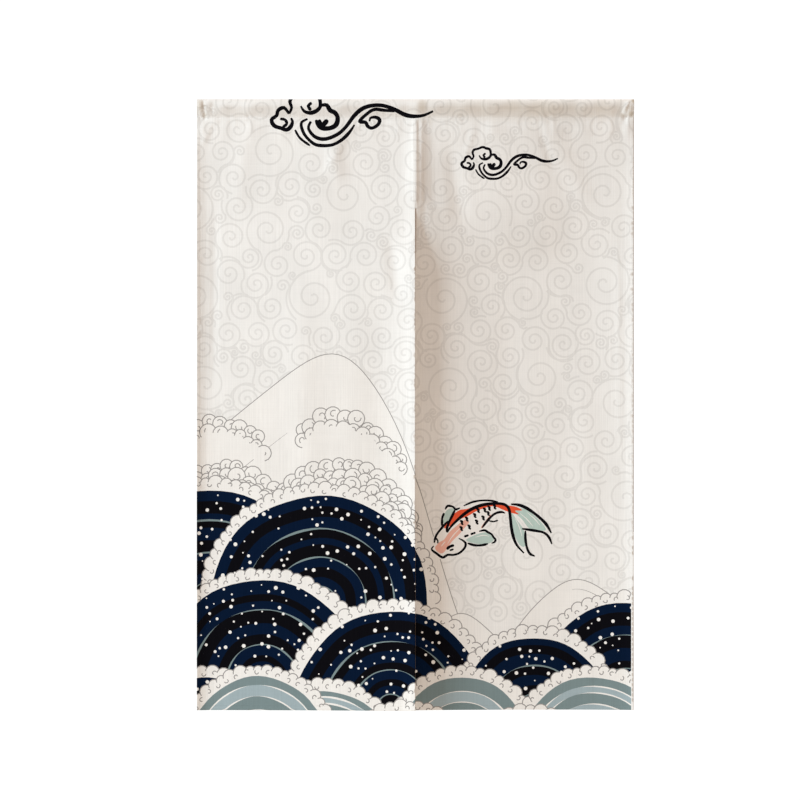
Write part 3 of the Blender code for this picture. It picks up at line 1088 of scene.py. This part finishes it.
def panel_print(side, design, across, fall):
    """One panel's share of the print, with its bare edge and its strips of painted edge shade."""
    borders = ((0, across.min(), 1), (0, across.max(), -1), (1, fall[0], 1), (1, fall[-1], -1))
    outlines, dyes = [], []
    for outline, dye in zip(design.outlines, design.dyes):
        for border in borders:
            outline = cut_off(outline, *border)
        if len(outline) > 2:
            outlines.append(outline)
            dyes.append(dye)
    if side > 0:
        near, far = panel_ends(side)
        unprinted, parted = fall_at(UNPRINTED_DROP), fall_at(SLIT_SHOWS)
        # By the right-hand side a bare strip, and painted shade along that side and along the slit
        strips = (("ground", far - UNPRINTED_WIDTH, far, unprinted, FULL_FALL),
                  ("hem_edge", far - SIDE_EDGE_SHADE, far, fall[0], unprinted),
                  ("hem_edge", near, near + SLIT_EDGE_SHADE, parted, FULL_FALL))
        for dye, left, right, top, foot in strips:
            outlines.append(np.array(((left, top), (left, foot), (right, foot), (right, top))))
            dyes.append(dye)
    return outlines, dyes


def shown_lines(corners, outlines, number_of):
    """The lines where two dyes meet, as places and the pairs of places that they join."""
    edges, first = [], len(corners)
    for outline in outlines:
        count = len(outline)
        edges += [(first + i, first + (i + 1) % count) for i in range(count)]
        first += count
    found, triangles = triangulate(np.vstack((corners, *outlines)), edges, MERGED_FIRST)
    top = number_of[topmost(found[triangles].mean(axis=1), outlines)]
    used, seams = np.unique(seams_of_colour(triangles, top), return_inverse=True)
    return cut_short(found[used], seams.reshape(-1, 2))


def grid_beside(places, lines, across, fall):
    """Places of the grid that lie on the panel's border or clear of the lines."""
    start, run = places[lines[:, 0]], places[lines[:, 1]] - places[lines[:, 0]]
    parts = np.ceil(np.hypot(*run.T) / SEAM_STEP).astype(int)
    shares = np.concatenate([np.arange(count) / count for count in parts])
    along = np.repeat(start, parts, axis=0) + shares[:, None] * np.repeat(run, parts, axis=0)
    tree = KDTree(len(along))
    for index, (x, y) in enumerate(along):
        tree.insert((x, y, 0), index)
    tree.balance()
    x, y = np.meshgrid(across, fall)
    grid = np.stack((x.ravel(), y.ravel()), axis=1)
    on_border = np.isin(grid[:, 0], across[[0, -1]]) | np.isin(grid[:, 1], fall[[0, -1]])
    wanted = np.where(sharply_bent(grid), BEND_CLEARANCE, GRID_CLEARANCE)
    clear = np.array([tree.find((*place, 0))[2] for place in grid]) > wanted
    return grid[clear | on_border]


def cut_panel(side, design):
    """Flat panel cut where its dyes meet: places, triangles, a dye for each, and its print."""
    across, fall = panel_lines(side)
    outlines, dyes = panel_print(side, design, across, fall)
    names = sorted(set(dyes) | {"ground"})
    number_of = np.array([names.index(dye) for dye in dyes + ["ground"]])
    corners = np.array([(x, y) for x in across[[0, -1]] for y in fall[[0, -1]]])
    # Only the lines that show are cut, into an even grid that carries the folds
    drawn, seams = shown_lines(corners, outlines, number_of)
    grid = grid_beside(drawn, seams, across, fall)
    found, triangles = triangulate(np.vstack((drawn, grid)), seams.tolist(), MERGED_LAST)
    top = number_of[topmost(found[triangles].mean(axis=1), outlines)]
    return found, triangles, [names[number] for number in top], (outlines, dyes)


def new_piece(name, mesh, materials):
    """Put a finished mesh in the scene as one piece."""
    for material in materials:
        mesh.materials.append(material)
    piece = bpy.data.objects.new(name, mesh)
    bpy.context.scene.collection.objects.link(piece)
    return piece


def feed(tree, node, sources):
    """Feed sockets of a node from other nodes."""
    for name, source in sources.items():
        tree.links.new(source, node.inputs[name])


def add_node(tree, kind, settings=None, inputs=None, links=None):
    """Add a node, with its settings, its socket values and the sockets that feed it."""
    node = tree.nodes.new(kind)
    for name, value in (settings or {}).items():
        setattr(node, name, value)
    for name, value in (inputs or {}).items():
        node.inputs[name].default_value = value
    feed(tree, node, links or {})
    return node


def ranged(tree, value, ends, new_ends):
    """A value carried from one range over to another."""
    spread = {"From Min": ends[0], "From Max": ends[1], "To Min": new_ends[0], "To Max": new_ends[1]}
    node = add_node(tree, "ShaderNodeMapRange", inputs=spread, links={"Value": value})
    return node.outputs["Result"]


def tinted(tree, colour, share):
    """A colour made lighter or darker by a share."""
    node = add_node(tree, "ShaderNodeVectorMath", {"operation": 'SCALE'},
                    links={"Vector": colour, "Scale": share})
    return node.outputs["Vector"]


# How much of the cloth's unevenness comes from its weft, the rest being its upright warp
WEFT_SHARE = 0.3
# Range in which nearly all the noise of the threads lies
MIDDLE_NOISE = (0.33, 0.67)


def new_material(name):
    """A new material, its nodes and its shader."""
    material = bpy.data.materials.new(name)
    material.use_nodes = True
    tree = material.node_tree
    return material, tree, tree.nodes["Principled BSDF"]


def slub_cloth(name, show_through, pitch):
    """Printed linen and cotton slub: uneven threads give soft streaks and a dry, matt face."""
    material, tree, shader = new_material(name)
    # The dye attribute holds the print's dyes with painted shade worked into them
    dye = add_node(tree, "ShaderNodeAttribute", {"attribute_name": "dye"})
    weave = add_node(tree, "ShaderNodeUVMap", {"uv_map": "cloth"})

    def threads(stretch_x, stretch_y, detail):
        spread = add_node(tree, "ShaderNodeMapping", inputs={"Scale": (stretch_x, stretch_y, 1)},
                          links={"Vector": weave.outputs["UV"]})
        return add_node(tree, "ShaderNodeTexNoise", {"noise_dimensions": '2D'},
                        {"Scale": 1.0, "Detail": detail, "Roughness": 0.55},
                        {"Vector": spread.outputs["Vector"]}).outputs["Fac"]

    # Threads are drawn at a coarse pitch, because real ones are finer than a pixel
    warp = threads(1 / pitch, 9.0, 2.0)
    weft = threads(8.0, 1 / pitch, 2.0)
    blotch = threads(14.0, 9.0, 3.0)
    both = add_node(tree, "ShaderNodeMix", inputs={"Factor": WEFT_SHARE},
                    links={2: warp, 3: weft}).outputs["Result"]
    streak = ranged(tree, both, MIDDLE_NOISE, (0.95, 1.03))
    mottle = ranged(tree, blotch, (0.3, 0.7), (0.965, 1.02))
    uneven = add_node(tree, "ShaderNodeMath", {"operation": 'MULTIPLY'}, links={0: streak, 1: mottle})
    base = dye.outputs["Color"]
    if show_through < 1:
        base = add_node(tree, "ShaderNodeMix", {"data_type": 'RGBA'},
                        {"Factor": show_through, 6: (*linear("#EFEAE3"), 1)}, {7: base}).outputs[2]
    bump = add_node(tree, "ShaderNodeBump", inputs={"Strength": 0.5, "Distance": 0.5 * MM},
                    links={"Height": both})
    feed(tree, shader, {"Base Color": tinted(tree, base, uneven.outputs["Value"]),
                        "Roughness": ranged(tree, both, MIDDLE_NOISE, (0.96, 0.84)),
                        "Normal": bump.outputs["Normal"]})
    shader.inputs["Specular IOR Level"].default_value = 0.06
    return material


def face_normals(side, flat):
    """Which way the printed face looks at each place of the cloth, from the cloth's own shape."""
    near, far = panel_ends(side)
    x, y = flat.T
    steps = (0.2, -0.2)
    right, left = (on_cloth(side, np.clip(x + step, near, far), y) for step in steps)
    down, up = (on_cloth(side, x, np.clip(y + step, -POCKET_FALL, FULL_FALL)) for step in steps)
    normals = np.cross(down - up, right - left)
    return normals / np.linalg.norm(normals, axis=1, keepdims=True)


def corner_numbers(mesh):
    """Number of the place at each corner of each face."""
    corner = np.empty(len(mesh.loops), int)
    mesh.loops.foreach_get("vertex_index", corner)
    return corner


def shade_as_cloth(mesh, normals, plain, faces):
    """Shade both sides by the cloth's own shape, but not the rim or the steps of the hems."""
    both = np.vstack((normals, -normals * plain[:, None]))[corner_numbers(mesh)]
    both[6 * faces:] = 0
    mesh.normals_split_custom_set(both.tolist())


def lay_bake_map(mesh, side, points, faces):
    """Map for baked pictures: the printed face on its left half, the wrong side on its right."""
    flat = np.empty(2 * len(mesh.loops))
    mesh.uv_layers["cloth"].data.foreach_get("uv", flat)
    flat = flat.reshape(-1, 2) / MM
    near, far = panel_ends(side)
    across = (flat[:, 0] - near) / (far - near)
    up = (FULL_FALL - flat[:, 1]) / (FULL_FALL + POCKET_FALL)
    number = np.arange(len(mesh.loops))
    wrong_side = (number >= 3 * faces) & (number < 6 * faces)
    place = np.stack((np.where(wrong_side, 1 - across, across), up), axis=1)
    # The thin faces round the rim get a narrow strip just outside the printed face
    rim = (number >= 6 * faces) & (corner_numbers(mesh) >= points)
    beyond = np.where(place < 0.002, -1, np.where(place > 0.998, 1, 0)) * rim[:, None]
    place = BAKE_MARGIN + place * (0.5 - 2 * BAKE_MARGIN, 1 - 2 * BAKE_MARGIN)
    place += beyond * 0.5 * BAKE_MARGIN
    place[wrong_side, 0] += 0.5
    mesh.uv_layers.new(name="OFBake").data.foreach_set("uv", place.ravel())


def printed_mesh(name, side, flat, triangles, colours):
    """The printed face as a thin mesh on the folds, with its map and its dyes."""
    mesh = bpy.data.meshes.new(name)
    mesh.from_pydata(on_cloth(side, flat[:, 0], flat[:, 1]), [], triangles.tolist())
    corners = corner_numbers(mesh)
    mesh.uv_layers.new(name="cloth").data.foreach_set("uv", (flat[corners] * MM).ravel())
    dye = mesh.color_attributes.new("dye", 'FLOAT_COLOR', 'CORNER')
    dyes = bpy.context.scene.curtain_dyes
    values = {key: (*getattr(dyes, key), 1.0) for key in set(colours)}
    values = np.repeat([values[key] for key in colours], 3, axis=0)
    # Painted warm shade on the pocket and at its ends darkens the dyes here
    values *= 1 - painted_shade(*flat.T)[corners, None] * PAINTED_SHADE_TINT
    dye.data.foreach_set("color", values.ravel())
    # The faces point out: forward on the front, backward on the pocket's back
    mesh.update()
    if sum(face.normal.y * face.area for face in mesh.polygons) > 0:
        mesh.flip_normals()
    mesh.shade_smooth()
    return mesh


def thicken(piece, hem):
    """Give the cloth its thickness, more in its hems, and return the mesh that it then has."""
    settings = bpy.context.scene.curtain_cloth
    group = piece.vertex_groups.new(name="hem")
    thin = settings.thickness / settings.hem_thickness
    for places, share in ((hem, 1.0), (~hem, thin)):
        group.add(np.flatnonzero(places).tolist(), share, 'REPLACE')
    solid = piece.modifiers.new("thickness", 'SOLIDIFY')
    solid.thickness = settings.hem_thickness
    solid.offset = -1
    solid.vertex_group = "hem"
    solid.material_offset = 1
    solid.material_offset_rim = 0
    graph = bpy.context.evaluated_depsgraph_get()
    mesh = bpy.data.meshes.new_from_object(piece.evaluated_get(graph),
                                           preserve_all_data_layers=True, depsgraph=graph)
    piece.modifiers.clear()
    printed, piece.data = piece.data, mesh
    bpy.data.meshes.remove(printed)
    piece.vertex_groups.clear()
    return mesh


def cloth_panel(name, side, design):
    """One panel and its half of the pocket, as a single printed cloth with thick hems."""
    flat, triangles, colours, shapes = cut_panel(side, design)
    mesh = printed_mesh(name + "_thin", side, flat, triangles, colours)
    pitch = bpy.context.scene.curtain_cloth.thread_pitch
    piece = new_piece(name, mesh, (slub_cloth(name + "_printed_slub", 1.0, pitch),
                                   slub_cloth(name + "_slub_wrong_side", 0.3, pitch)))
    drop, edge = drop_at(flat[:, 1])[0], from_side(flat[:, 0])
    hem = (edge < SIDE_HEM + PAST_HEM) | (drop > DROP - FOOT_HEM - PAST_HEM)
    mesh = thicken(piece, hem & (flat[:, 1] > POCKET_FALL))
    mesh.name = name
    plain = (np.minimum(edge, DROP - drop) > FOOT_HEM + 3) & (np.abs(drop - POCKET) > 2)
    shade_as_cloth(mesh, face_normals(side, flat), plain, len(triangles))
    lay_bake_map(mesh, side, len(flat), len(triangles))
    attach(piece, "root")
    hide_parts("panel_left" if side < 0 else "panel_right",
                "heading_left" if side < 0 else "heading_right")
    return piece, shapes


def spun_thread(name):
    """Spun polyester: a soft dull thread whose twist gives it fine slanting ribs."""
    material, tree, shader = new_material(name)
    dye = add_node(tree, "ShaderNodeAttribute", {"attribute_name": "dye"})
    place = add_node(tree, "ShaderNodeTexCoord")
    twist = add_node(tree, "ShaderNodeTexWave", {"bands_direction": 'DIAGONAL'},
                     {"Scale": 0.4 / MM, "Distortion": 1.5}, {"Vector": place.outputs["Object"]})
    shade = ranged(tree, twist.outputs["Fac"], (0, 1), (0.93, 1.03))
    bump = add_node(tree, "ShaderNodeBump", inputs={"Strength": 0.4, "Distance": 0.1 * MM},
                    links={"Height": twist.outputs["Fac"]})
    feed(tree, shader, {"Base Color": tinted(tree, dye.outputs["Color"], shade),
                        "Normal": bump.outputs["Normal"]})
    shader.inputs["Roughness"].default_value = 0.7
    shader.inputs["Specular IOR Level"].default_value = 0.15
    return material


def stitch_places(side, start, end, raised, pitch):
    """Middles, lengths, sides and rises of the stitches along one straight row on the cloth."""
    start, end = np.array(start, float), np.array(end, float)
    run = np.linalg.norm(end - start)
    count = round(run / pitch)
    along = (end - start) / run
    aside = np.array((-along[1], along[0]))
    middles = start + (np.arange(count)[:, None] + 0.5) / count * (end - start)
    half = 0.42 * run / count
    head, foot, left, right = (on_cloth(side, *(middles + step).T, raised)
                               for step in (-half * along, half * along, -aside, aside))
    forth, across = foot - head, right - left
    across /= np.linalg.norm(across, axis=1, keepdims=True)
    out = np.cross(forth, across)
    out /= np.linalg.norm(out, axis=1, keepdims=True)
    return middles, (head + foot) / 2, forth, across, out


def sew_panel(name, side, shapes):
    """Every stitch of one panel, as one mesh: the pocket's seam and the hems, front and back."""
    settings, dyes = bpy.context.scene.curtain_cloth, bpy.context.scene.curtain_dyes
    bm = bmesh.new()
    bmesh.ops.create_icosphere(bm, subdivisions=1, radius=0.5)
    bm.verts.index_update()
    stitch = np.array([vert.co for vert in bm.verts])
    sides = np.array([[vert.index for vert in face.verts] for face in bm.faces])
    bm.free()
    near, far, inset = 3 * side, side * (HALF_WIDTH - 2), side * HEM_SEAM
    outer, head, foot = side * HALF_WIDTH - inset, POCKET_FALL + 2, FULL_FALL - 3
    rows = (((near, SEAM_FALL), (far, SEAM_FALL)),
            ((outer, head), (outer, foot)),
            ((inset, head), (inset, foot)),
            ((near, FULL_FALL - HEM_SEAM - 2), (far, FULL_FALL - HEM_SEAM - 2)))
    behind = -settings.hem_thickness / MM
    runs = [(*row, 0.0) for row in rows] + [(*row, behind) for row in rows[1:]]
    runs.append(((near, -SEAM_FALL), (far, -SEAM_FALL), 0.0))
    places, faces, colours = [], [], []
    for start, end, raised in runs:
        flat, middle, forth, across, out = stitch_places(side, start, end, raised,
                                                         settings.stitch_pitch / MM)
        bodies = (middle[:, None] + stitch[:, 0, None] * forth[:, None]
                  + stitch[:, 1, None] * across[:, None] * THREAD_WIDTH
                  + stitch[:, 2, None] * out[:, None] * THREAD_HEIGHT)
        first = len(stitch) * (len(colours) + np.arange(len(middle)))
        faces += (first[:, None, None] + sides).reshape(-1, 3).tolist()
        places.append(bodies.reshape(-1, 3))
        # The cloth is printed once it is sewn, so the thread takes the print on the front
        under = topmost(flat, shapes[0]) if raised == 0 and start[1] > 0 else [-2] * len(middle)
        colours += ["thread" if n == -2 else "ground" if n == -1 else shapes[1][n] for n in under]
    mesh = bpy.data.meshes.new(name)
    mesh.from_pydata(np.vstack(places), [], faces)
    mesh.shade_smooth()
    dye = mesh.color_attributes.new("dye", 'FLOAT_COLOR', 'POINT')
    values = [(*getattr(dyes, key), 1.0) for key in colours]
    dye.data.foreach_set("color", np.repeat(values, len(stitch), axis=0).ravel())
    piece = new_piece(name, mesh, (spun_thread(name + "_spun_polyester"),))
    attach(piece, "root")
    return piece


class CURTAIN_OT_cloth(bpy.types.Operator):
    """Make both printed panels with their rod pocket, and sew them"""
    bl_idname = "curtain.cloth"
    bl_label = "Printed cloth and sewing"

    def execute(self, context):
        design = curtain_print()
        for name, side in (("left", -1), ("right", 1)):
            cloth, shapes = cloth_panel("cloth_" + name, side, design)
            stitches = sew_panel("stitches_" + name, side, shapes)
        return {'FINISHED'}


def lay_floor(height):
    """A round pale floor."""
    bm = bmesh.new()
    bmesh.ops.create_circle(bm, cap_ends=True, segments=96, radius=3.0)
    bmesh.ops.translate(bm, verts=bm.verts, vec=(0, 0, height))
    mesh = bpy.data.meshes.new("studio_floor")
    bm.to_mesh(mesh)
    bm.free()
    pale, _, shader = new_material("matt_pale_paint")
    shader.inputs["Base Color"].default_value = (*linear("#E9E7E3"), 1)
    shader.inputs["Roughness"].default_value = 0.9
    new_piece("studio_floor", mesh, (pale,))


def light_surroundings(scene, fill):
    """Warm soft light from all round, before a ground that the camera sees as white."""
    world = bpy.data.worlds.new("soft_surroundings")
    scene.world = world
    world.use_nodes = True
    tree = world.node_tree
    tree.nodes.clear()
    seen = add_node(tree, "ShaderNodeLightPath")
    glows = (((1.0, 0.83, 0.715, 1), fill), ((1, 1, 1, 1), 1.1))
    warm, white = (add_node(tree, "ShaderNodeBackground", inputs={"Color": tint, "Strength": power})
                   for tint, power in glows)
    mix = add_node(tree, "ShaderNodeMixShader", links={0: seen.outputs["Is Camera Ray"],
                                                       1: warm.outputs[0], 2: white.outputs[0]})
    add_node(tree, "ShaderNodeOutputWorld", links={"Surface": mix.outputs[0]})


def hang_lamp(scene, name, place, size, power, colour):
    """A square soft lamp that faces the middle of the curtain."""
    data = bpy.data.lights.new(name, 'AREA')
    data.size = size
    data.energy = power
    data.color = colour
    lamp = bpy.data.objects.new(name, data)
    lamp.location = place
    aim = Vector((0, 0, -DROP / 2 * MM)) - lamp.location
    lamp.rotation_euler = aim.to_track_quat('-Z', 'Y').to_euler()
    scene.collection.objects.link(lamp)


def set_camera(scene, lens):
    """A camera square to the cloth, from which the frame holds what the photo's frame holds."""
    data = bpy.data.cameras.new("photo_camera")
    data.lens = lens
    data.sensor_width = 36.0
    data.clip_end = 50.0
    away = FRAME_PIXELS * PIXEL * MM * data.lens / data.sensor_width
    right, down = ((place - FRAME_PIXELS / 2) * PIXEL * MM for place in CENTRE_PIXEL)
    camera = bpy.data.objects.new("photo_camera", data)
    camera.location = (-right, -away, -DROP / 2 * MM + down)
    camera.rotation_euler = (radians(90), 0, 0)
    scene.collection.objects.link(camera)
    scene.camera = camera


class CURTAIN_OT_studio(bpy.types.Operator):
    """Make the floor, the lamps, the surroundings and the camera"""
    bl_idname = "curtain.studio"
    bl_label = "Studio"

    def execute(self, context):
        scene = context.scene
        studio = scene.curtain_studio
        lay_floor(-studio.rod_height)
        light_surroundings(scene, studio.fill)
        for lamp in (("key_lamp", (-5.4, -2.2, 1.5), 1.5, studio.key_power, (0.72, 0.88, 1.0)),
                     ("back_lamp", (3.0, 5.0, 1.5), 2.0, studio.key_power * 0.4, (1.0, 0.99, 0.97)),
                     ("top_lamp", (0.9, 0.3, 1.1), 1.0, studio.top_power, (1.0, 0.96, 0.92))):
            hang_lamp(scene, *lamp)
        set_camera(scene, studio.lens)
        scene.view_settings.view_transform = 'Standard'
        return {'FINISHED'}


class CURTAIN_PT_sidebar(bpy.types.Panel):
    """Lists the curtain's operators and settings"""
    bl_label = "Door curtain"
    bl_idname = "CURTAIN_PT_sidebar"
    bl_space_type = 'VIEW_3D'
    bl_region_type = 'UI'
    bl_category = "Curtain"

    def draw(self, context):
        column = self.layout.column()
        for operator in OPERATORS:
            column.operator(operator.bl_idname)
        for group in (context.scene.curtain_cloth, context.scene.curtain_dyes,
                      context.scene.curtain_studio):
            for name in group.__annotations__:
                column.prop(group, name)


OPERATORS = (CURTAIN_OT_cloth, CURTAIN_OT_studio)
CLASSES = (CurtainDyes, CurtainCloth, CurtainStudio, *OPERATORS, CURTAIN_PT_sidebar)


def register():
    """Register the classes and their settings."""
    for cls in CLASSES:
        bpy.utils.register_class(cls)
    bpy.types.Scene.curtain_dyes = bpy.props.PointerProperty(type=CurtainDyes)
    bpy.types.Scene.curtain_cloth = bpy.props.PointerProperty(type=CurtainCloth)
    bpy.types.Scene.curtain_studio = bpy.props.PointerProperty(type=CurtainStudio)


def unregister():
    """Remove the settings and the classes."""
    del bpy.types.Scene.curtain_studio
    del bpy.types.Scene.curtain_cloth
    del bpy.types.Scene.curtain_dyes
    for cls in reversed(CLASSES):
        bpy.utils.unregister_class(cls)


def main():
    """Register the settings and make everything in order."""
    register()
    bpy.ops.curtain.cloth()
    bpy.ops.curtain.studio()


if __name__ == "__main__":
    main()
